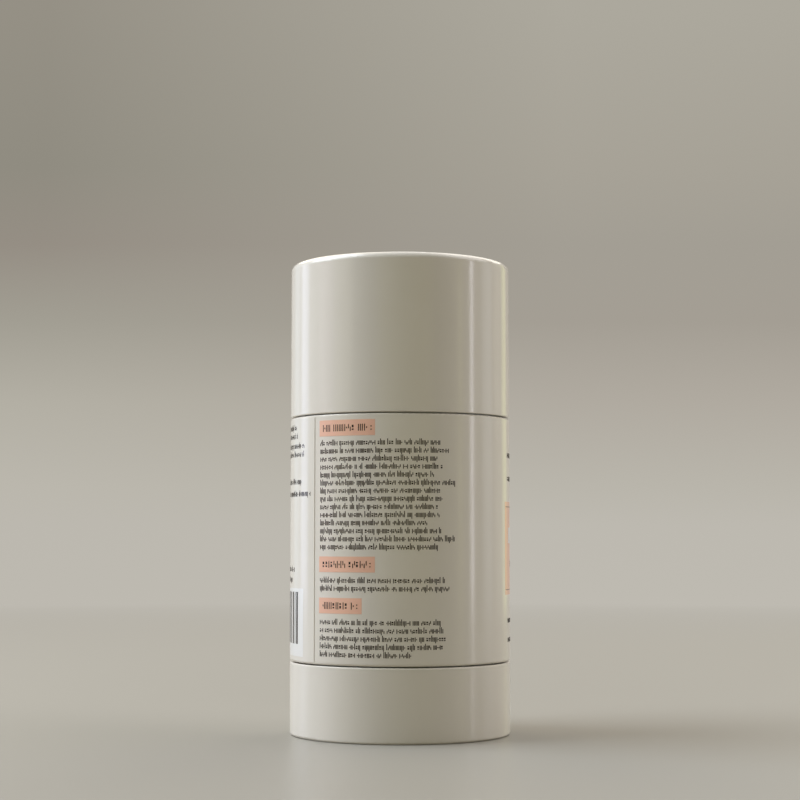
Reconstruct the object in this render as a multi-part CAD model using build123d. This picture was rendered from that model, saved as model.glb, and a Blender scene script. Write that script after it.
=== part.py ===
from build123d import *
import os

# Twist-up deodorant stick: a round double-walled pack with a push-on cap and a dial at its foot.
# Millimetres, +Z up, origin at the centre of the foot.
# A turn of the dial drives a coarse screw, which lifts the platform that carries the stick.

# Outside sizes
PACK_DIA = 50.0  # dial and labelled barrel
DIAL_HEIGHT = 16.32
SLEEVE_HEIGHT = 54.55
CAP_HEIGHT = 35.11
SEAM_GAP = 0.3  # open line between dial, barrel and cap
CAP_INSET = 0.05  # the cap's wall stands this far inside the label's surface
CROWN_RADIUS = 1.5  # top outer edge of the cap
EDGE_RADIUS = 0.25  # softened edge at every seam
FOOT_RADIUS = 0.6  # bottom outer edge of the dial

# Label
FILM_THICKNESS = 0.1
FILM_MARGIN = 0.4  # bare sleeve above and below the film
FILM_SPLIT = 0.6  # width of the line where the film's two ends meet
FILM_SPLIT_ANGLE = 221.8  # where that line stands, about +Z from +X

# Barrel
SLEEVE_WALL = 1.2
WALL_GAP = 1.9  # air between sleeve and inner tube
TUBE_WALL = 1.0
SHOULDER_THICKNESS = 1.3
SHOULDER_RADIAL_FIT = 0.05
SLEEVE_LIP = 0.6  # sleeve wall left around the shoulder
NECK_HEIGHT = 9.5
NECK_EDGE = 0.4
BEAD_HEIGHT = 0.25  # snap bead on the neck, for the cap
BEAD_RISE = 4.0  # from the shoulder to the bead's middle
FLOOR_RISE = 2.0  # from the sleeve's lower edge to the tube's floor
FLOOR_THICKNESS = 1.5
FLOOR_RADIAL_FIT = 0.1  # tube floor in the sleeve
RIB_COUNT = 4  # keys that stop the platform turning
RIB_WIDTH = 2.0
RIB_DEPTH = 1.0
RIB_TOP_DROP = 10.0  # from the neck's rim down to the ribs' upper ends

# Spigot under the barrel, which the dial snaps on
SPIGOT_WALL = 1.1
SPIGOT_REACH = 8.0  # into the dial, below its top edge
SPIGOT_BEAD = 0.6
SPIGOT_BEAD_RISE = 1.8  # from the spigot's lower edge to the bead's middle
SPIGOT_GAP = 0.3  # running clearance in the dial

# Cap
CAP_WALL = 1.3
CAP_TOP = 1.5
CEILING_RADIUS = 1.0
CAP_SLIDE_GAP = 0.15  # between the neck's bead and the liner
LINER_GAP = 0.35  # air between liner and cap shell
LINER_TOP = 1.2
LINER_RIB_COUNT = 12
LINER_RIB_WIDTH = 1.6
LINER_RIB_FIT = 0.05
LINER_RIB_RISE = 3.0  # from the liner's rim to the ribs' lower ends

# Dial
DIAL_WALL = 1.5
DIAL_BASE = 1.8
BASE_RECESS_DIA = 38.0
BASE_RECESS_DEPTH = 0.8
CORE_DISC = 1.3
CORE_RING_WALL = 1.3
CORE_FIT = 0.05  # core pressed in the dial shell
CORE_RING_DROP = 0.6  # from the dial's top edge to the core's ring
CORE_BOSS_WALL = 1.8
CORE_BOSS_GAP = 0.3  # from the boss to the barrel's floor
CORE_WEB_COUNT = 4
CORE_WEB = 1.2
CORE_WEB_DROP = 3.0  # from the spigot's lower edge to the webs

# Screw
SCREW_DIA = 9.2
SCREW_THROW = 0.9  # how far the thread's round section stands off the axis
SCREW_LEAD = 4.5
SCREW_GAP = 0.2  # between the screw and its nut
SCREW_COVER = 5.0  # product left above the screw's tip
FLANGE_DIA = 15.0
FLANGE_THICKNESS = 1.4
JOURNAL_DIA = 8.8
JOURNAL_GAP = 0.1  # in the floor's hole, each side
SHANK_ACROSS_FLATS = 7.0
SHANK_LENGTH = 11.0
SHANK_FIT = 0.03

# Platform
PLATFORM_GAP = 0.3  # to the tube's bore, to its ribs and to the screw's flange
PLATFORM_DISC = 1.4
PLATFORM_CUP_HEIGHT = 6.0
PLATFORM_CUP_WALL = 1.8
HUB_WALL = 1.8
HUB_HEIGHT = 8.0

# Stick
STICK_DROP = 0.2  # from the neck's rim down to the top of the dome
DOME_RADIUS = 38.0
DOME_EDGE = 1.2
STICK_FIT = 0.05  # cast product against the platform
SCREW_BORE_GAP = 0.6  # between the screw and the product

# Heights, from the foot up
DIAL_FLOOR = DIAL_BASE
CORE_DISC_TOP = DIAL_FLOOR + CORE_DISC
SPIGOT_LOW = DIAL_HEIGHT - SPIGOT_REACH
SPIGOT_BEAD_Z = SPIGOT_LOW + SPIGOT_BEAD_RISE
SLEEVE_LOW = DIAL_HEIGHT + SEAM_GAP
SLEEVE_TOP = SLEEVE_LOW + SLEEVE_HEIGHT
FLOOR_LOW = SLEEVE_LOW + FLOOR_RISE
FLOOR_TOP = FLOOR_LOW + FLOOR_THICKNESS
FLANGE_TOP = FLOOR_TOP + FLANGE_THICKNESS
CORE_BOSS_TOP = FLOOR_LOW - CORE_BOSS_GAP
PLATFORM_LOW = FLANGE_TOP + PLATFORM_GAP
PLATFORM_TOP = PLATFORM_LOW + PLATFORM_DISC
HUB_TOP = PLATFORM_LOW + HUB_HEIGHT
CUP_TOP = PLATFORM_TOP + PLATFORM_CUP_HEIGHT
NECK_TOP = SLEEVE_TOP + NECK_HEIGHT
STICK_TOP = NECK_TOP - STICK_DROP
SCREW_TOP = STICK_TOP - SCREW_COVER
CAP_LOW = SLEEVE_TOP + SEAM_GAP
CAP_HIGH = CAP_LOW + CAP_HEIGHT
CEILING = CAP_HIGH - CAP_TOP

# Radii, from the outside in
PACK_R = PACK_DIA / 2
SLEEVE_R = PACK_R - FILM_THICKNESS
SLEEVE_BORE = SLEEVE_R - SLEEVE_WALL
SHOULDER_SEAT_R = SLEEVE_R - SLEEVE_LIP
TUBE_R = SLEEVE_BORE - WALL_GAP
TUBE_BORE = TUBE_R - TUBE_WALL
CAP_R = PACK_R - CAP_INSET
CAP_BORE = CAP_R - CAP_WALL
LINER_R = CAP_BORE - LINER_GAP
LINER_BORE = TUBE_R + BEAD_HEIGHT + CAP_SLIDE_GAP
DIAL_BORE = PACK_R - DIAL_WALL
CORE_R = DIAL_BORE - CORE_FIT
CORE_RING_BORE = CORE_R - CORE_RING_WALL
SPIGOT_R = CORE_RING_BORE - SPIGOT_GAP
PLATFORM_R = TUBE_BORE - PLATFORM_GAP
SCREW_SECTION_R = SCREW_DIA / 2 - SCREW_THROW
HUB_R = SCREW_DIA / 2 + SCREW_GAP + HUB_WALL

UPRIGHT = (Align.CENTER, Align.CENTER, Align.MIN)
PAST = 1.0  # how far a cutter runs past what it cuts
TURN = 360.0


def disc(radius, low, high):
    """Round slab about the Z axis."""
    return Pos(0, 0, low) * Cylinder(radius, high - low, align=UPRIGHT)


def ring(outer, inner, low, high):
    """Plain tube about the Z axis."""
    return disc(outer, low, high) - disc(inner, low - PAST, high + PAST)


def bead(radius, height, middle):
    """Round-nosed ring that stands proud of a radius by its height."""
    low, tip, high = (radius, 0, middle - height), (radius + height, 0, middle), (radius, 0, middle + height)
    return revolve(make_face(Line(low, high) + ThreePointArc(high, tip, low)), Axis.Z)


def rims(part, radius, height):
    """Circular edges of a turned part at one radius and height."""
    near = 0.001
    circles = part.edges().filter_by(GeomType.CIRCLE)
    return [e for e in circles if abs(e.radius - radius) < near and abs(e.arc_center.Z - height) < near]


def bars(count, width, inner, outer, low, high):
    """Upright flat bars set round the axis, each between two radii."""
    bar = Pos((inner + outer) / 2, 0, low) * Box(outer - inner, width, high - low, align=UPRIGHT)
    return [Rot(0, 0, TURN * i / count) * bar for i in range(count)]


def screw_solid(section_radius, low, high):
    """Round section that stands off the axis, twisted one turn in each lead; a right-handed coarse thread."""
    start = TURN * (low - FLANGE_TOP) / SCREW_LEAD
    section = Pos(0, 0, low) * Rot(0, 0, start) * Pos(SCREW_THROW, 0, 0) * Circle(section_radius)
    height = high - low
    return Solid.extrude_linear_with_rotation(
        section.face(), (0, 0, low), (0, 0, height), TURN * height / SCREW_LEAD
    )


def keyways(low, high):
    """Cutters for the grooves that run on the barrel's ribs."""
    root = TUBE_BORE - RIB_DEPTH - PLATFORM_GAP
    return bars(RIB_COUNT, RIB_WIDTH + 2 * PLATFORM_GAP, root, TUBE_R, low, high)


def cap_shell():
    """Outer cap: a deep cup with a rounded crown and a softened rim."""
    shell = disc(CAP_R, CAP_LOW, CAP_HIGH) - disc(CAP_BORE, CAP_LOW - PAST, CEILING)
    shell = fillet(rims(shell, CAP_R, CAP_HIGH), CROWN_RADIUS)
    shell = fillet(rims(shell, CAP_BORE, CEILING), CEILING_RADIUS)
    return fillet(rims(shell, CAP_R, CAP_LOW), EDGE_RADIUS)


def cap_liner():
    """Inner cap: seats on the shoulder, slides over the neck and is held in the shell by its ribs."""
    liner_ceiling = CEILING - LINER_TOP
    liner = disc(LINER_R, SLEEVE_TOP, CEILING) - disc(LINER_BORE, SLEEVE_TOP - PAST, liner_ceiling)
    liner = fillet(rims(liner, LINER_BORE, liner_ceiling), CEILING_RADIUS)
    liner = fillet(rims(liner, LINER_R, CEILING), CEILING_RADIUS)
    rib_low = SLEEVE_TOP + LINER_RIB_RISE
    rib_high = CEILING - 2 * CEILING_RADIUS
    rib_root = LINER_R - (LINER_R - LINER_BORE) / 2
    ribs = bars(LINER_RIB_COUNT, LINER_RIB_WIDTH, rib_root, CAP_R, rib_low, rib_high)
    keep = ring(CAP_BORE - LINER_RIB_FIT, rib_root, rib_low, rib_high)
    return liner + [rib & keep for rib in ribs]


def barrel_sleeve():
    """Outer barrel: a plain tube, counterbored at the top for the inner tube's shoulder."""
    sleeve = ring(SLEEVE_R, SLEEVE_BORE, SLEEVE_LOW, SLEEVE_TOP)
    sleeve -= disc(SHOULDER_SEAT_R, SLEEVE_TOP - SHOULDER_THICKNESS, SLEEVE_TOP + PAST)
    return fillet(rims(sleeve, SLEEVE_R, SLEEVE_LOW) + rims(sleeve, SLEEVE_R, SLEEVE_TOP), EDGE_RADIUS)


def label_film():
    """Wrap-round label: a thin skin whose two ends meet at one upright line."""
    low = SLEEVE_LOW + FILM_MARGIN
    high = SLEEVE_TOP - FILM_MARGIN
    film = ring(PACK_R, SLEEVE_R, low, high)
    split = Pos(SLEEVE_R, 0, low - PAST) * Box(2 * PAST, FILM_SPLIT, high - low + 2 * PAST, align=UPRIGHT)
    return film - Rot(0, 0, FILM_SPLIT_ANGLE) * split


def inner_tube():
    """Product chamber: neck, shoulder, keyed bore, floor with the screw's hole, and the spigot below."""
    tube = ring(TUBE_R, TUBE_BORE, FLOOR_LOW, NECK_TOP)
    tube = fillet(rims(tube, TUBE_R, NECK_TOP), NECK_EDGE)
    tube += bead(TUBE_R, BEAD_HEIGHT, SLEEVE_TOP + BEAD_RISE)
    shoulder_r = SHOULDER_SEAT_R - SHOULDER_RADIAL_FIT
    tube += ring(shoulder_r, TUBE_BORE, SLEEVE_TOP - SHOULDER_THICKNESS, SLEEVE_TOP)
    tube += disc(SLEEVE_BORE - FLOOR_RADIAL_FIT, FLOOR_LOW, FLOOR_TOP)
    tube += ring(SPIGOT_R, SPIGOT_R - SPIGOT_WALL, SPIGOT_LOW, FLOOR_LOW)
    tube += bead(SPIGOT_R, SPIGOT_BEAD, SPIGOT_BEAD_Z)
    rib_top = NECK_TOP - RIB_TOP_DROP
    rib_root = TUBE_BORE + TUBE_WALL / 2
    tube += bars(RIB_COUNT, RIB_WIDTH, TUBE_BORE - RIB_DEPTH, rib_root, FLOOR_TOP, rib_top)
    return tube - disc(JOURNAL_DIA / 2 + JOURNAL_GAP, FLOOR_LOW - PAST, FLOOR_TOP + PAST)


def spindle():
    """Lead screw: coarse thread, thrust flange, journal in the floor, and the hexagonal shank below."""
    thread = screw_solid(SCREW_SECTION_R, FLANGE_TOP - PLATFORM_GAP, SCREW_TOP)
    flange = disc(FLANGE_DIA / 2, FLOOR_TOP, FLANGE_TOP)
    journal = disc(JOURNAL_DIA / 2, CORE_BOSS_TOP, FLOOR_TOP)
    hexagon = Pos(0, 0, CORE_BOSS_TOP - SHANK_LENGTH) * RegularPolygon(SHANK_ACROSS_FLATS / 2, 6, major_radius=False)
    return flange + thread + journal + extrude(hexagon, SHANK_LENGTH)


def platform():
    """Elevator: a keyed cup with a threaded hub, which holds the foot of the stick."""
    cup = disc(PLATFORM_R, PLATFORM_LOW, CUP_TOP) - disc(PLATFORM_R - PLATFORM_CUP_WALL, PLATFORM_TOP, CUP_TOP + PAST)
    hub = disc(HUB_R, PLATFORM_LOW, HUB_TOP)
    nut = screw_solid(SCREW_SECTION_R + SCREW_GAP, PLATFORM_LOW - PAST, HUB_TOP + PAST)
    return cup + hub - nut - keyways(PLATFORM_LOW - PAST, CUP_TOP + PAST)


def stick_body():
    """Solid of the cast product before its bore and grooves: foot in the cup, full body, domed top."""
    foot = disc(PLATFORM_R - PLATFORM_CUP_WALL - STICK_FIT, PLATFORM_TOP, CUP_TOP)
    dome_centre = STICK_TOP - DOME_RADIUS
    body = disc(PLATFORM_R, CUP_TOP, STICK_TOP) & (Pos(0, 0, dome_centre) * Sphere(DOME_RADIUS))
    dome_foot = dome_centre + (DOME_RADIUS**2 - PLATFORM_R**2) ** 0.5
    return foot + fillet(rims(body, PLATFORM_R, dome_foot), DOME_EDGE)


def deodorant_stick():
    """Cast product: stands on the platform round its hub, bored for the screw and grooved for the keys."""
    hub_bore = disc(HUB_R + STICK_FIT, PLATFORM_TOP - PAST, HUB_TOP + STICK_FIT)
    screw_bore = disc(SCREW_DIA / 2 + SCREW_BORE_GAP, HUB_TOP, SCREW_TOP + SCREW_BORE_GAP)
    return stick_body() - hub_bore - screw_bore - keyways(CUP_TOP - PAST, STICK_TOP + PAST)


def dial_core():
    """Inner wheel: snaps on the barrel's spigot, and its boss takes the screw's shank."""
    core = disc(CORE_R, DIAL_FLOOR, CORE_DISC_TOP)
    core += ring(CORE_R, CORE_RING_BORE, DIAL_FLOOR, DIAL_HEIGHT - CORE_RING_DROP)
    core -= bead(CORE_RING_BORE - SPIGOT_GAP, SPIGOT_BEAD + SPIGOT_GAP, SPIGOT_BEAD_Z)
    boss_r = SHANK_ACROSS_FLATS / 2 + CORE_BOSS_WALL
    core += disc(boss_r, DIAL_FLOOR, CORE_BOSS_TOP)
    web_top = SPIGOT_LOW - CORE_WEB_DROP
    ring_middle = CORE_R - CORE_RING_WALL / 2
    core += bars(CORE_WEB_COUNT, CORE_WEB, SHANK_ACROSS_FLATS / 2 + SHANK_FIT, ring_middle, DIAL_FLOOR, web_top)
    socket_low = CORE_BOSS_TOP - SHANK_LENGTH - SHANK_FIT
    socket = Pos(0, 0, socket_low) * RegularPolygon(SHANK_ACROSS_FLATS / 2 + SHANK_FIT, 6, major_radius=False)
    return core - extrude(socket, SHANK_LENGTH + PAST)


def dial_shell():
    """Outer dial: a shallow cup that stands on the ring round its recessed base."""
    shell = disc(PACK_R, 0, DIAL_HEIGHT) - disc(DIAL_BORE, DIAL_FLOOR, DIAL_HEIGHT + PAST)
    recess_r = BASE_RECESS_DIA / 2
    shell -= disc(recess_r, -PAST, BASE_RECESS_DEPTH)
    shell = fillet(rims(shell, PACK_R, 0), FOOT_RADIUS)
    shell = fillet(rims(shell, recess_r, 0), EDGE_RADIUS)
    return fillet(rims(shell, PACK_R, DIAL_HEIGHT), EDGE_RADIUS)


PIECES = {
    "cap_shell": cap_shell,
    "cap_liner": cap_liner,
    "barrel_sleeve": barrel_sleeve,
    "label_film": label_film,
    "inner_tube": inner_tube,
    "spindle": spindle,
    "platform": platform,
    "deodorant_stick": deodorant_stick,
    "dial_core": dial_core,
    "dial_shell": dial_shell,
}

os.makedirs("parts", exist_ok=True)
for name, make in PIECES.items():
    export_step(make(), f"parts/{name}.step")
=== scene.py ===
# %% [markdown]
# # A twist-up deodorant stick
#
# The pack is a handful of white plastic mouldings: a dial at the foot, a labelled barrel and a cap. The engineering
# model already holds every one of them at its real size, the screw and the platform inside included. What is left
# for Blender is what a camera sees: how the plastic shines, what is printed on the label, and a plain studio.
#
# The first cell loads the engineering model. Its pieces stay where they are, and everything here is in metres.

# %% Load the pack and measure it
import math

import bpy
import numpy as np
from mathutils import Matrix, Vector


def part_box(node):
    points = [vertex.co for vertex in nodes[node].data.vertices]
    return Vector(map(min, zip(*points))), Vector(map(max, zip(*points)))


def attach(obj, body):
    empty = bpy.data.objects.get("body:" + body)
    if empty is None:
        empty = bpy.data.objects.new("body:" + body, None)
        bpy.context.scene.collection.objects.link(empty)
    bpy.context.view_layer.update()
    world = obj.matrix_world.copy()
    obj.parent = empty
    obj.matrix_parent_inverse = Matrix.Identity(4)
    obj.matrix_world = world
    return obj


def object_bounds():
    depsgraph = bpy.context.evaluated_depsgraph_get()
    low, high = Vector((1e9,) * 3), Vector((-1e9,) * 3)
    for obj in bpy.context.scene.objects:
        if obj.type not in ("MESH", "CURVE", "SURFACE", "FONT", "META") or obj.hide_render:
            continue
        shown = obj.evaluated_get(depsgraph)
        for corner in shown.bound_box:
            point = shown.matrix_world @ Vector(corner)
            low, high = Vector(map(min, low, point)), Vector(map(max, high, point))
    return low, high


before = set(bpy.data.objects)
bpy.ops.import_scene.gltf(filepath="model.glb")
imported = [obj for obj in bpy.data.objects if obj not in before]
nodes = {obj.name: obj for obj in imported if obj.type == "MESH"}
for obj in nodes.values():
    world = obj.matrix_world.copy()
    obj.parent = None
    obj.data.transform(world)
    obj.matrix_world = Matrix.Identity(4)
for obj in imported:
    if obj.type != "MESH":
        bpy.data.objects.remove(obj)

MM = 0.001

bounds_of_parts = [list(corner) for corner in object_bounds()]
film_low, film_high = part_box("label_film")
film_radius = (film_high.x - film_low.x) / 2
pack_height = bounds_of_parts[1][2]
print(f"pack: {pack_height / MM:.1f} mm tall, label radius {film_radius / MM:.2f} mm")

# %% [markdown]
# ## Shader arithmetic
#
# A procedural finish is a small graph of nodes. Written out node by node it is hard to read, so two helpers come
# first. `Value` wraps an output socket and gives it the operators + - *, each of which adds one Math node. `Graph`
# holds a node tree, and its `node` method adds any other node: the settings go in before the sockets, because some
# settings decide which sockets there are. A `Finish` is the graph of a material with one Principled shader.

# %% Helpers for node graphs
class Value:
    """A number that varies over a surface: arithmetic on it adds Math nodes to its graph."""

    def __init__(self, graph, socket):
        self.graph = graph
        self.socket = socket

    def math(self, operation, first, second):
        node = self.graph.node("ShaderNodeMath", {"operation": operation}, {0: first, 1: second})
        return Value(self.graph, node.outputs[0])

    def __add__(self, other):
        return self.math("ADD", self, other)

    def __radd__(self, other):
        return self.math("ADD", other, self)

    def __sub__(self, other):
        return self.math("SUBTRACT", self, other)

    def __rsub__(self, other):
        return self.math("SUBTRACT", other, self)

    def __mul__(self, other):
        return self.math("MULTIPLY", self, other)

    def __rmul__(self, other):
        return self.math("MULTIPLY", other, self)

    def clamped(self):
        """The value, held between 0 and 1."""
        return Value(self.graph, self.graph.node("ShaderNodeClamp", {}, {0: self}).outputs[0])


class Graph:
    """A node tree, and one way to add nodes to it."""

    def __init__(self, tree):
        self.tree = tree

    def link(self, value, socket):
        """Join a Value or an output socket to an input, or write a plain number or colour on it."""
        source = value.socket if isinstance(value, Value) else value
        if isinstance(source, bpy.types.NodeSocket):
            self.tree.links.new(source, socket)
        else:
            socket.default_value = source

    def node(self, kind, settings, sockets):
        """Any node: settings are its own properties, or `stops`, a ramp's (position, colour) pairs."""
        node = self.tree.nodes.new(kind)
        for name, value in settings.items():
            if name == "stops":
                self.set_stops(node.color_ramp.elements, value)
            else:
                setattr(node, name, value)
        for name, value in sockets.items():
            self.link(value, node.inputs[name])
        return node

    def set_stops(self, elements, stops):
        """Write a ramp's stops; a new ramp already has two elements, which take the first and the last."""
        for at, colour in stops[1:-1]:
            elements.new(at)
        for element, (at, colour) in zip(elements, stops):
            element.position = at
            element.color = (*colour, 1)

    def seen(self):
        """1 for a ray that looks, from the camera, off a glossy surface or through a clear one; 0 for all others."""
        path = self.node("ShaderNodeLightPath", {}, {})
        camera, glossy, clear = (Value(self, path.outputs[f"Is {ray} Ray"]) for ray in ("Camera", "Glossy", "Transmission"))
        return (camera + glossy + clear).clamped()


class Finish(Graph):
    """One material: a Principled shader with plain numbers on its sockets, and nodes where something varies."""

    def __init__(self, name, **plain):
        self.material = bpy.data.materials.new(name)
        self.material.use_nodes = True
        super().__init__(self.material.node_tree)
        self.shader = self.tree.nodes["Principled BSDF"]
        for socket, value in plain.items():
            self.shader.inputs[socket.replace("_", " ")].default_value = value

    def where(self):
        """Object coordinates in metres, which stay with the piece as it moves."""
        return self.node("ShaderNodeTexCoord", {}, {}).outputs["Object"]

    def noise(self, size, detail=2.0, stretch=(1, 1, 1)):
        """Soft random value about 0.5, whose blotches are about `size` metres across."""
        scale = [1 / (size * s) for s in stretch]
        place = self.node("ShaderNodeMapping", {}, {"Vector": self.where(), "Scale": scale})
        sockets = {"Vector": place.outputs[0], "Scale": 1.0, "Detail": detail}
        return Value(self, self.node("ShaderNodeTexNoise", {}, sockets).outputs[0])

    def blend(self, mask, low, high):
        """Colour that goes from low to high as the mask goes from 0 to 1."""
        mix = self.node("ShaderNodeMix", {"data_type": "RGBA"}, {0: mask, 6: (*low, 1), 7: (*high, 1)})
        return mix.outputs[2]

    def bump(self, height, depth):
        """Raise the surface by up to `depth` metres where the height value is 1."""
        bump = self.node("ShaderNodeBump", {}, {"Height": height, "Distance": depth})
        self.link(bump.outputs[0], self.shader.inputs["Normal"])

    def colour(self, value):
        self.link(value, self.shader.inputs["Base Color"])

    def roughness(self, value):
        self.link(value, self.shader.inputs["Roughness"])


def dress(node_names, finish):
    """Give CAD nodes a finish by filling their material slots."""
    for name in node_names:
        for slot in nodes[name].material_slots:
            slot.material = finish.material
    print(f"{finish.material.name}: {', '.join(node_names)}")


# %% [markdown]
# ## White plastic
#
# The cap, the dial and the barrel are glossy polypropylene, a warm off-white. Two things stop it looking like
# computer plastic. The wall is never quite true, so a reflection has a slightly wavy edge: that is a very low bump
# whose swells are a couple of centimetres long. And the skin is not quite evenly polished, so the roughness
# wanders a little.

# %% Glossy shell plastic
WHITE = (0.745, 0.700, 0.625)
WHITE_SHADE = (0.730, 0.684, 0.606)


def shell_plastic():
    finish = Finish("shell_plastic", IOR=1.49)
    finish.colour(finish.blend(finish.noise(9 * MM), WHITE_SHADE, WHITE))
    finish.roughness(0.13 + 0.05 * finish.noise(6 * MM, detail=4))
    swell = finish.noise(14 * MM, detail=0, stretch=(1, 1, 1.6))
    skin = finish.noise(0.35 * MM, detail=1)
    finish.bump(swell + 0.012 * skin, 0.05 * MM)
    return finish


dress(["cap_shell", "barrel_sleeve", "dial_shell"], shell_plastic())


# %% [markdown]
# ## Label film
#
# The label is a clear-coated film of the same white, drawn tight round the barrel. It shines as the plastic does,
# with a finer texture, and its two ends meet at one upright line. The inks lie under the same clear coat, so the
# same function gives their finishes: only the two colours change, and since all of them read Object coordinates,
# the swells run on from the bare film into the print.

# %% Film finish
def film_finish(name, light, shade):
    finish = Finish(name, IOR=1.49)
    finish.colour(finish.blend(finish.noise(9 * MM), shade, light))
    finish.roughness(0.14 + 0.04 * finish.noise(5 * MM, detail=4))
    swell = finish.noise(14 * MM, detail=0, stretch=(1, 1, 1.6))
    skin = finish.noise(0.2 * MM, detail=1)
    finish.bump(swell + 0.010 * skin, 0.05 * MM)
    return finish


dress(["label_film"], film_finish("label_film", WHITE, WHITE_SHADE))

# %% [markdown]
# ## Inside the pack
#
# With the cap off and the dial turned, three more finishes show. The neck and the cap's liner are the same plastic
# without its whitener, so they are milkier and let a little light in. The screw, the platform and the dial's core
# are plain white, off a duller mould. The stick is a wax cast: it is matt, slightly see-through at its edges, a
# little mottled, and its skin has shallow flow marks and fine pits from cooling.

# %% Inner finishes
def inner_plastic():
    depth = {"Subsurface_Radius": (1.0, 1.0, 0.9), "Subsurface_Scale": 0.8 * MM}
    finish = Finish("inner_plastic", IOR=1.49, Subsurface_Weight=0.25, **depth)
    finish.colour(finish.blend(finish.noise(7 * MM), (0.700, 0.685, 0.640), (0.735, 0.720, 0.680)))
    finish.roughness(0.24 + 0.08 * finish.noise(3 * MM, detail=4))
    finish.bump(finish.noise(0.4 * MM, detail=2), 0.004 * MM)
    return finish


def screw_plastic():
    finish = Finish("screw_plastic", IOR=1.49)
    finish.colour(finish.blend(finish.noise(5 * MM), (0.690, 0.680, 0.650), (0.730, 0.720, 0.695)))
    finish.roughness(0.34 + 0.10 * finish.noise(2 * MM, detail=4))
    finish.bump(finish.noise(0.25 * MM, detail=2), 0.006 * MM)
    return finish


def stick_product():
    depth = {"Subsurface_Radius": (1.0, 0.8, 0.6), "Subsurface_Scale": 1.5 * MM}
    finish = Finish("stick_product", IOR=1.44, Subsurface_Weight=0.35, **depth)
    finish.colour(finish.blend(finish.noise(4 * MM, detail=5), (0.770, 0.715, 0.600), (0.830, 0.785, 0.690)))
    finish.roughness(0.42 + 0.16 * finish.noise(1.5 * MM, detail=5))
    flow = finish.noise(6 * MM, detail=1, stretch=(1, 1, 0.4))
    pits = finish.noise(0.5 * MM, detail=3)
    finish.bump(flow + 0.15 * pits, 0.12 * MM)
    return finish


dress(["cap_liner", "inner_tube"], inner_plastic())
dress(["spindle", "platform", "dial_core"], screw_plastic())
dress(["deodorant_stick"], stick_product())

# %% [markdown]
# ## Print on the label
#
# Everything printed is a thin closed plate that follows the barrel: an ink film a fiftieth of a millimetre proud of
# the label. A plate is a box in three numbers that suit a label: an angle round the barrel, a height, and a depth.
# Bending it is only a matter of turning each corner's angle into x and y, which numpy does for all the plates of a
# piece in one go. `lean` moves a plate's top edge round the barrel, for slanting marks.

# %% Plates bent round the barrel
INK_LIFT = 0.02 * MM
INK_ROOT = 0.05 * MM
MM_PER_DEGREE = math.radians(1) * film_radius / MM


def bent_plates(plates, strips, lift):
    """Each row is (angle0, angle1, z0, z1, lean): degrees from the front towards +X, and millimetres. Strip edge t in
    0..1 has angle = angle0 + t (angle1 - angle0), plus lean on the top edge; its four corners are (r sin angle,
    -r cos angle, z), with r = film - root or film + lift and z = z0 or z1."""
    table = np.asarray(plates, dtype=float)
    angle0, angle1, z0, z1, lean = (column[:, None, None] for column in table.T)
    t = np.linspace(0, 1, strips + 1)[None, :, None]
    on_top = np.array([0, 0, 1, 1])[None, None, :]
    is_outer = np.array([0, 1, 1, 0])[None, None, :]
    angle = np.radians(angle0 + t * (angle1 - angle0) + on_top * lean)
    r = film_radius - INK_ROOT + is_outer * (INK_ROOT + lift)
    z = (z0 + on_top * (z1 - z0)) * MM + 0 * t
    points = np.stack(np.broadcast_arrays(r * np.sin(angle), -r * np.cos(angle), z), axis=-1).reshape(-1, 3)

    first = 4 * (strips + 1) * np.arange(len(table))[:, None]
    corner = np.arange(4)
    here = 4 * np.arange(strips)[:, None] + corner
    following = 4 * np.arange(strips)[:, None] + (corner + 1) % 4
    sides = np.stack([here, here + 4, following + 4, following], axis=-1).reshape(-1)
    ends = np.concatenate([corner, 4 * strips + corner[::-1]])
    faces = (first + np.concatenate([sides, ends])).reshape(-1, 4)
    return points, faces


def print_piece(name, plates, finish, strips=1, lift=INK_LIFT):
    """One mesh object for a set of plates, which rides on the barrel."""
    points, faces = bent_plates(plates, strips, lift)
    mesh = bpy.data.meshes.new(name)
    mesh.from_pydata(points.tolist(), [], faces.tolist())
    mesh.materials.append(finish.material)
    piece = bpy.data.objects.new(name, mesh)
    bpy.context.scene.collection.objects.link(piece)
    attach(piece, "barrel")
    print(f"{name}: {len(plates)} plates, {2 * len(faces)} triangles")
    return piece


# %% Three inks
PEACH = (0.860, 0.510, 0.375)
PEACH_SHADE = (0.845, 0.495, 0.360)
BROWN = (0.026, 0.014, 0.009)
BROWN_SHADE = (0.022, 0.012, 0.008)
BRIGHT = (0.800, 0.785, 0.755)
BRIGHT_SHADE = (0.785, 0.770, 0.740)

tag_ink = film_finish("tag_ink", PEACH, PEACH_SHADE)
text_ink = film_finish("text_ink", BROWN, BROWN_SHADE)
patch_ink = film_finish("patch_ink", BRIGHT, BRIGHT_SHADE)

# %% [markdown]
# ## Fields of colour
#
# The back of the label has three peach tags, each at the head of a column of small print. The front has one large
# peach panel with a pale bar across it, and to the left of the seam stands a white patch for a bar pattern. Each is
# one wide plate, split into strips so that it stays round.

# %% Tags, panel and patch
TAGS = (
    # left, right, foot, head
    (-45.0, -12.5, 66.40, 69.90),
    (-45.0, -12.5, 36.75, 40.15),
    (-45.0, -19.3, 27.80, 31.20),
)
PANEL_LEFT, PANEL_RIGHT, PANEL_FOOT, PANEL_HEAD = 70.2, 153.8, 31.5, 52.3
PATCH_LEFT, PATCH_RIGHT, PATCH_FOOT, PATCH_HEAD = -104.0, -59.0, 18.0, 33.0
BAR_OF_PANEL = (77.0, 147.0, 43.0, 46.5, 0)
WIDE_STRIPS = 24

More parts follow.
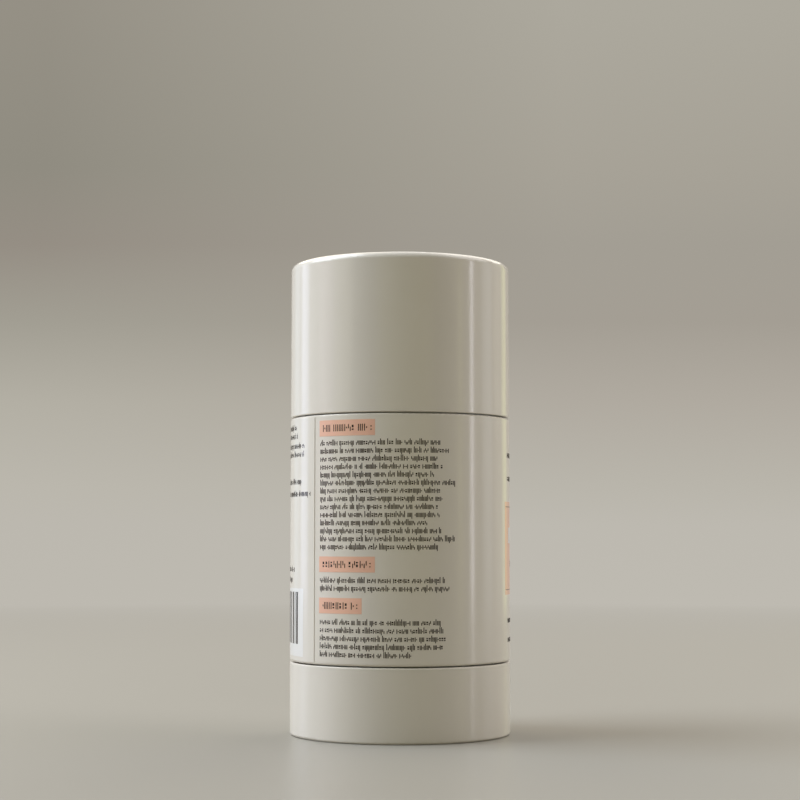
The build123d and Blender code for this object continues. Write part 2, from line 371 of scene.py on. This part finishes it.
print_piece("heading_tags", [(*tag, 0) for tag in TAGS], tag_ink, WIDE_STRIPS)
panel_field = (PANEL_LEFT, PANEL_RIGHT, PANEL_FOOT, PANEL_HEAD, 0)
print_piece("front_panel", [panel_field], tag_ink, 2 * WIDE_STRIPS)
print_piece("panel_bar", [BAR_OF_PANEL], patch_ink, 2 * WIDE_STRIPS, lift=2 * INK_LIFT)
patch_field = (PATCH_LEFT, PATCH_RIGHT, PATCH_FOOT, PATCH_HEAD, 0)
print_piece("code_patch", [patch_field], patch_ink, WIDE_STRIPS)

# %% [markdown]
# ## Small print
#
# Small print is greeked, as a layout artist does when the words don't matter: each row is a run of upright ticks,
# short dashes and small blocks with the height, weight and spacing of print, and none of them is a letter. A mark
# is drawn in a cell whose height is 1, the height of a plain mark; a few marks reach up or down past it. Rows are
# filled from the left, word by word, from one seeded random stream, so the label is the same on every run.

# %% Marks and rows
MARKS = (
    # advance, then plates (x, width in strokes, z0, z1), in units of a plain mark's height
    (0.60, ((0, 1, 0, 1), (0.30, 1, 0, 1))),
    (0.62, ((0, 1, 0, 1), (0.30, 1.1, 0.38, 0.62))),
    (0.60, ((0, 1.1, 0.36, 0.64), (0.30, 1, 0, 1))),
    (0.60, ((0, 1, 0, 0.62), (0.30, 1, 0.38, 1))),
    (0.60, ((0, 1, 0.38, 1), (0.30, 1, 0, 0.62))),
    (0.34, ((0, 1, 0, 1),)),
    (0.36, ((0, 1, 0, 1.40),)),
    (0.62, ((0, 1, 0, 1.40), (0.30, 1, 0, 1))),
    (0.62, ((0, 1, 0, 1), (0.30, 1, -0.35, 1))),
    (0.58, ((0, 2.1, 0.12, 0.50), (0, 2.1, 0.66, 0.88))),
    (0.58, ((0, 2.1, 0.12, 0.34), (0, 2.1, 0.50, 0.88))),
)
SMALL_STROKE = 0.20
HEADING_STROKE = 0.145
FRONT_STROKE = 0.13
SHORTEST_WORD = 2
LONGEST_WORD = 11
WORD_GAP = 0.42

random = np.random.default_rng(11)


def greeked_row(left, right, foot, size, stroke=SMALL_STROKE, level=False):
    """Marks from `left` to `right` (degrees) on a base line at `foot`; `size` is a plain mark's height in mm,
    `stroke` an upright's width as a share of it, and `level` keeps every mark to that height, as capitals are."""
    plates = []
    degrees = size / MM_PER_DEGREE
    x = left
    remaining = random.integers(SHORTEST_WORD, LONGEST_WORD)
    while x < right - 0.3 * degrees:
        advance, shapes = MARKS[random.integers(len(MARKS))]
        for start, strokes, z0, z1 in shapes:
            if level:
                z0, z1 = max(z0, 0), min(z1, 1)
            x0 = x + start * degrees
            plates.append((x0, x0 + strokes * stroke * degrees, foot + z0 * size, foot + z1 * size, 0))
        x += advance * degrees
        remaining -= 1
        if remaining == 0:
            x += WORD_GAP * degrees
            remaining = random.integers(SHORTEST_WORD, LONGEST_WORD)
    return plates


# %% Back of the label
TAG_WORDS = (
    # left, right, middle of the row
    (-42.5, -15.4, 68.15),
    (-42.5, -15.9, 38.45),
    (-42.4, -22.8, 29.50),
)
TAG_MARK = 1.50
COLUMN_LEFT = -44.4
ROW_PITCH = 1.741
COLUMN_MARK = 0.95
COLUMNS = (
    # middle of the first row, and where each row ends
    (64.79, (20.6, 25.2, 19.1, 21.8, 17.5, 28.7, 20.2, 22.1, 19.7, 20.1, 13.7, 20.9, 28.1, 19.1)),
    (34.92, (23.5, 26.6)),
    (25.88, (20.6, 22.6, 23.5, 22.5, 6.5)),
)


def tag_marks():
    """A level row in each tag, closed by two dots."""
    plates = []
    dot = 0.26
    for left, right, middle in TAG_WORDS:
        foot = middle - TAG_MARK / 2
        plates += greeked_row(left, right - 1.2, foot, TAG_MARK, HEADING_STROKE, level=True)
        width = dot / MM_PER_DEGREE
        plates += [(right + 0.6, right + 0.6 + width, foot + z, foot + z + dot, 0) for z in (0.15, 0.85)]
    return plates


def column_marks():
    """Rows of small print from one left edge, a fixed pitch apart."""
    plates = []
    for first, ends in COLUMNS:
        for row, end in enumerate(ends):
            foot = first - row * ROW_PITCH - COLUMN_MARK / 2
            plates += greeked_row(COLUMN_LEFT, end, foot, COLUMN_MARK)
    return plates


print_piece("heading_marks", tag_marks(), text_ink, lift=2 * INK_LIFT)
print_piece("column_marks", column_marks(), text_ink)

# %% Left of the seam
SIDE_LEFT = -104.0
SIDE_MARK = 0.95
SIDE_ROWS = (
    # middle of the row, and where it ends
    (68.7, -67.5), (66.8, -66.5), (64.6, -57.5), (62.7, -58.5),
    (56.6, -60.5), (53.9, -51.8),
    (37.1, -70.0), (34.8, -75.0),
)
BARS_LEFT, BARS_RIGHT, BARS_FOOT, BARS_HEAD = -99.0, -65.2, 20.7, 32.2
BAR_UNIT = 0.33 / MM_PER_DEGREE


def bar_pattern():
    """Upright bars and gaps, each a random whole number of units wide."""
    widths = random.integers(1, 4, size=(80, 2)) * BAR_UNIT
    starts = BARS_LEFT + np.concatenate([[0], np.cumsum(widths.sum(axis=1))[:-1]])
    fits = starts + widths[:, 0] <= BARS_RIGHT
    starts, ends = starts[fits], (starts + widths[:, 0])[fits]
    shift = BARS_RIGHT - ends[-1]
    return [(a + shift, b + shift, BARS_FOOT, BARS_HEAD, 0) for a, b in zip(starts, ends)]


side_marks = [
    plate
    for middle, end in SIDE_ROWS
    for plate in greeked_row(SIDE_LEFT, end, middle - SIDE_MARK / 2, SIDE_MARK)
]
print_piece("side_marks", side_marks, text_ink)
print_piece("code_bars", bar_pattern(), text_ink, lift=2 * INK_LIFT)

# %% Front of the label
FRONT_ROWS = (
    # left, right, middle of the row, mark height
    (75.0, 149.0, 62.75, 1.10),
    (75.0, 149.0, 57.50, 1.10),
    (84.0, 140.0, 38.40, 1.30),
    (75.0, 149.0, 25.70, 0.95),
    (75.0, 149.0, 21.40, 0.95),
)
PANEL_LINES = (
    # thin rules inside the panel, near its foot and head
    (71.6, 152.4, 51.10, 51.25, 0),
    (71.6, 152.4, 32.55, 32.70, 0),
)

front_marks = [
    plate
    for left, right, middle, size in FRONT_ROWS
    for plate in greeked_row(left, right, middle - size / 2, size, FRONT_STROKE, level=True)
]
print_piece("front_marks", front_marks, text_ink, lift=2 * INK_LIFT)
print_piece("panel_rules", PANEL_LINES, text_ink, 2 * WIDE_STRIPS, lift=2 * INK_LIFT)

# %% [markdown]
# ## Studio
#
# The pack stands on a pale table top that sweeps up into a backdrop. Both are one sheet: a line that runs back,
# bends through a quarter circle and climbs, drawn out sideways. The table has a little polish, so the pack leaves a
# faint reflection. Away from the pack the table fades into the backdrop, whose glow is painted light: a warm grey
# that is lightest just over the horizon and darker higher up, and higher up a little darker on the left, as lamp
# light falls off across a backdrop. Past the sheet's edges the air has the same grey. Both are only looked at: they
# shed no light, so they can be as pale as they like without washing out the pack.

# %% Sweep surface
FLOOR_FRONT = -1.5
FLOOR_BACK = 0.85
BEND_RADIUS = 0.45
WALL_TOP = 1.8
HALF_WIDTH = 1.8
BEND_STEPS = 24


def sweep_mesh():
    """Line (y, z) = flat, then bend centre + radius * (sin t, 1 - cos t) for t in 0..90 deg, then straight up;
    the sheet repeats it at x = -half width and x = +half width."""
    t = np.linspace(0, math.pi / 2, BEND_STEPS)
    y = np.concatenate([[FLOOR_FRONT], FLOOR_BACK + BEND_RADIUS * np.sin(t), [FLOOR_BACK + BEND_RADIUS]])
    z = np.concatenate([[0.0], BEND_RADIUS * (1 - np.cos(t)), [WALL_TOP]])
    left = np.stack([np.full_like(y, -HALF_WIDTH), y, z], axis=1)
    right = left * (-1, 1, 1)
    count = len(y)
    i = np.arange(count - 1)
    quads = np.stack([i, i + count, i + count + 1, i + 1], axis=1)
    mesh = bpy.data.meshes.new("studio_sweep")
    mesh.from_pydata(np.concatenate([left, right]).tolist(), [], quads.tolist())
    mesh.polygons.foreach_set("use_smooth", np.ones(count - 1, dtype=bool))
    return mesh


sweep = bpy.data.objects.new("studio_sweep", sweep_mesh())
bpy.context.scene.collection.objects.link(sweep)


# %% Table and backdrop finish
TABLE = (0.30, 0.285, 0.25)
FADE_START = 0.10
FADE_LENGTH = 0.75
GLOW_HEIGHT = 0.54
GLOW_LEFT = -0.33
GLOW_WIDTH = 0.48


def linear(*levels):
    """Screen levels 0 to 255 as the linear numbers that a shader works in."""
    share = np.array(levels) / 255
    return tuple(float(v) for v in np.where(share <= 0.04045, share / 12.92, ((share + 0.055) / 1.055) ** 2.4))


AIR = linear(186, 182, 172)
# Painted light on the backdrop: the two ramps below make its glow lightest just over the horizon and darker higher up,
# a little darker on the left.
PAINTED_LIGHT_STOPS_LEFT = (
    (0.00, linear(189, 185, 176)),
    (0.10, linear(188, 184, 175)),
    (0.16, linear(187, 183, 173)),
    (0.30, linear(179, 175, 164)),
    (0.44, linear(162, 158, 147)),
    (0.58, linear(149, 142, 132)),
    (0.72, linear(144, 140, 129)),
    (1.00, linear(149, 144, 133)),
)
PAINTED_LIGHT_STOPS_RIGHT = (
    (0.00, linear(190, 186, 177)),
    (0.10, linear(189, 185, 176)),
    (0.16, linear(185, 181, 171)),
    (0.30, linear(176, 170, 160)),
    (0.44, linear(164, 158, 148)),
    (0.58, linear(163, 158, 148)),
    (0.72, linear(167, 162, 151)),
    (1.00, linear(172, 168, 157)),
)


def studio_finish():
    finish = Finish("studio_sweep", Roughness=0.33, Base_Color=(*TABLE, 1))
    place = finish.node("ShaderNodeSeparateXYZ", {}, {0: finish.where()})
    flat = finish.node("ShaderNodeVectorMath", {"operation": "MULTIPLY"}, {0: finish.where(), 1: (1, 1, 0)}).outputs[0]
    away = finish.node("ShaderNodeVectorMath", {"operation": "LENGTH"}, {0: flat}).outputs["Value"]
    across = ((Value(finish, place.outputs["X"]) - GLOW_LEFT) * (1 / GLOW_WIDTH)).clamped()
    fade = ((Value(finish, away) - FADE_START) * (1 / FADE_LENGTH)).clamped()
    height = Value(finish, place.outputs["Z"]) * (1 / GLOW_HEIGHT)
    # Painted light: the backdrop's glow falls off with height, and higher up a little more on the left.
    left = finish.node("ShaderNodeValToRGB", {"stops": PAINTED_LIGHT_STOPS_LEFT}, {0: height}).outputs[0]
    right = finish.node("ShaderNodeValToRGB", {"stops": PAINTED_LIGHT_STOPS_RIGHT}, {0: height}).outputs[0]
    painted_backdrop_light = finish.node("ShaderNodeMix", {"data_type": "RGBA"}, {0: across, 6: left, 7: right}).outputs[2]
    glow = finish.node("ShaderNodeEmission", {}, {"Color": painted_backdrop_light, "Strength": 1.0})
    share = finish.seen() * fade
    mix = finish.node("ShaderNodeMixShader", {}, {0: share, 1: finish.shader.outputs[0], 2: glow.outputs[0]})
    finish.tree.links.new(mix.outputs[0], finish.tree.nodes["Material Output"].inputs["Surface"])
    return finish


sweep.data.materials.append(studio_finish().material)


def studio_air():
    """World whose background has strength 1 for rays that look and 0 for rays that light."""
    world = bpy.data.worlds.new("studio_air")
    world.use_nodes = True
    air = Graph(world.node_tree)
    background = world.node_tree.nodes["Background"]
    air.link((*AIR, 1), background.inputs["Color"])
    air.link(air.seen(), background.inputs["Strength"])
    return world


bpy.context.scene.world = studio_air()

# %% Camera
EYE_HEIGHT = 44.197 * MM
EYE_DISTANCE = 430.48 * MM
LOOK_UP = math.radians(4.197)
LENS = 84.54

eye = bpy.data.cameras.new("eye")
eye.lens = LENS
eye.sensor_width = 36.0
camera = bpy.data.objects.new("eye", eye)
camera.location = (0, -EYE_DISTANCE, EYE_HEIGHT)
camera.rotation_euler = (math.radians(90) + LOOK_UP, 0, 0)
bpy.context.scene.collection.objects.link(camera)
bpy.context.scene.camera = camera
bpy.context.scene.view_settings.view_transform = "Standard"

# %% [markdown]
# ## Light
#
# Glossy plastic shows the room as much as its own colour, so the lights are laid out by what each part of the pack
# should mirror. A round pack mirrors, at a point that faces an angle a, what stands at about 2a. All the lights are
# flat panels that stand in a ring and face the pack: bright cards behind it on the left, a broad dim one in front,
# and on the right two thin strips, which draw the two upright streaks on the cap and the dial. Four more panels
# hang higher up, for the shadows and the crown. `arc` is how wide a panel looks from the pack, and `glow` is its
# radiance, so a panel of glow 1 mirrors as white.

# %% Lights
RING_RADIUS = 620 * MM
AIM_HEIGHT = 50 * MM
LOW_PANEL = (4 * MM, 300 * MM)
HIGH_PANEL = (360 * MM, 1060 * MM)

PANELS = (
    # name, azimuth from the front towards +X, arc, foot and head, glow
    ("rear_left_b", -136, 14, LOW_PANEL, (0.23, 0.33, 0.43)),
    ("rear_left_c", -117, 14, LOW_PANEL, (1.37, 1.55, 2.08)),
    ("side_left_b", -82, 20, LOW_PANEL, (0.89, 0.72, 0.81)),
    ("side_left_c", -60, 20, LOW_PANEL, (0.70, 0.64, 0.49)),
    ("front", 5, 60, LOW_PANEL, (0.33, 0.30, 0.08)),
    ("thin_streak", 64, 3, LOW_PANEL, (1.32, 1.29, 0.51)),
    ("streak", 79.2, 3.5, LOW_PANEL, (6.78, 6.59, 7.07)),
    ("side_right", 102, 16, LOW_PANEL, (0.61, 0.67, 0.73)),
    ("rear_right_a", 122, 14, LOW_PANEL, (0.23, 0.23, 0.17)),
    ("rear_right_b", 140, 14, LOW_PANEL, (0.67, 0.70, 0.31)),
    ("high_rear_left", -145, 45, HIGH_PANEL, (2.58, 2.26, 1.75)),
    ("high_left", -90, 60, HIGH_PANEL, (6.80, 7.34, 8.03)),
    ("high_right", 90, 60, HIGH_PANEL, (2.73, 2.62, 2.66)),
    ("high_rear_right", 145, 45, HIGH_PANEL, (2.71, 2.60, 2.34)),
)


def panel(name, azimuth, arc, foot_head, glow):
    """Area light on the ring, turned to face the pack; its power in watts is pi * radiance * area."""
    foot, head = foot_head
    angle = math.radians(azimuth)
    middle = (foot + head) / 2
    light = bpy.data.lights.new(name, "AREA")
    light.shape = "RECTANGLE"
    light.size = RING_RADIUS * math.radians(arc)
    light.size_y = head - foot
    strength = max(glow)
    light.color = [g / strength for g in glow]
    light.energy = math.pi * strength * light.size * light.size_y
    lamp = bpy.data.objects.new(name, light)
    lamp.location = (RING_RADIUS * math.sin(angle), -RING_RADIUS * math.cos(angle), middle)
    aim = min(middle, AIM_HEIGHT) if foot_head is HIGH_PANEL else middle
    tilt = math.atan2(middle - aim, RING_RADIUS)
    lamp.rotation_euler = (math.radians(90) - tilt, 0, angle)
    lamp.visible_camera = False
    bpy.context.scene.collection.objects.link(lamp)
    return lamp


lamps = [panel(*row) for row in PANELS]
print(f"{len(lamps)} panels on a ring of {RING_RADIUS / MM:.0f} mm")
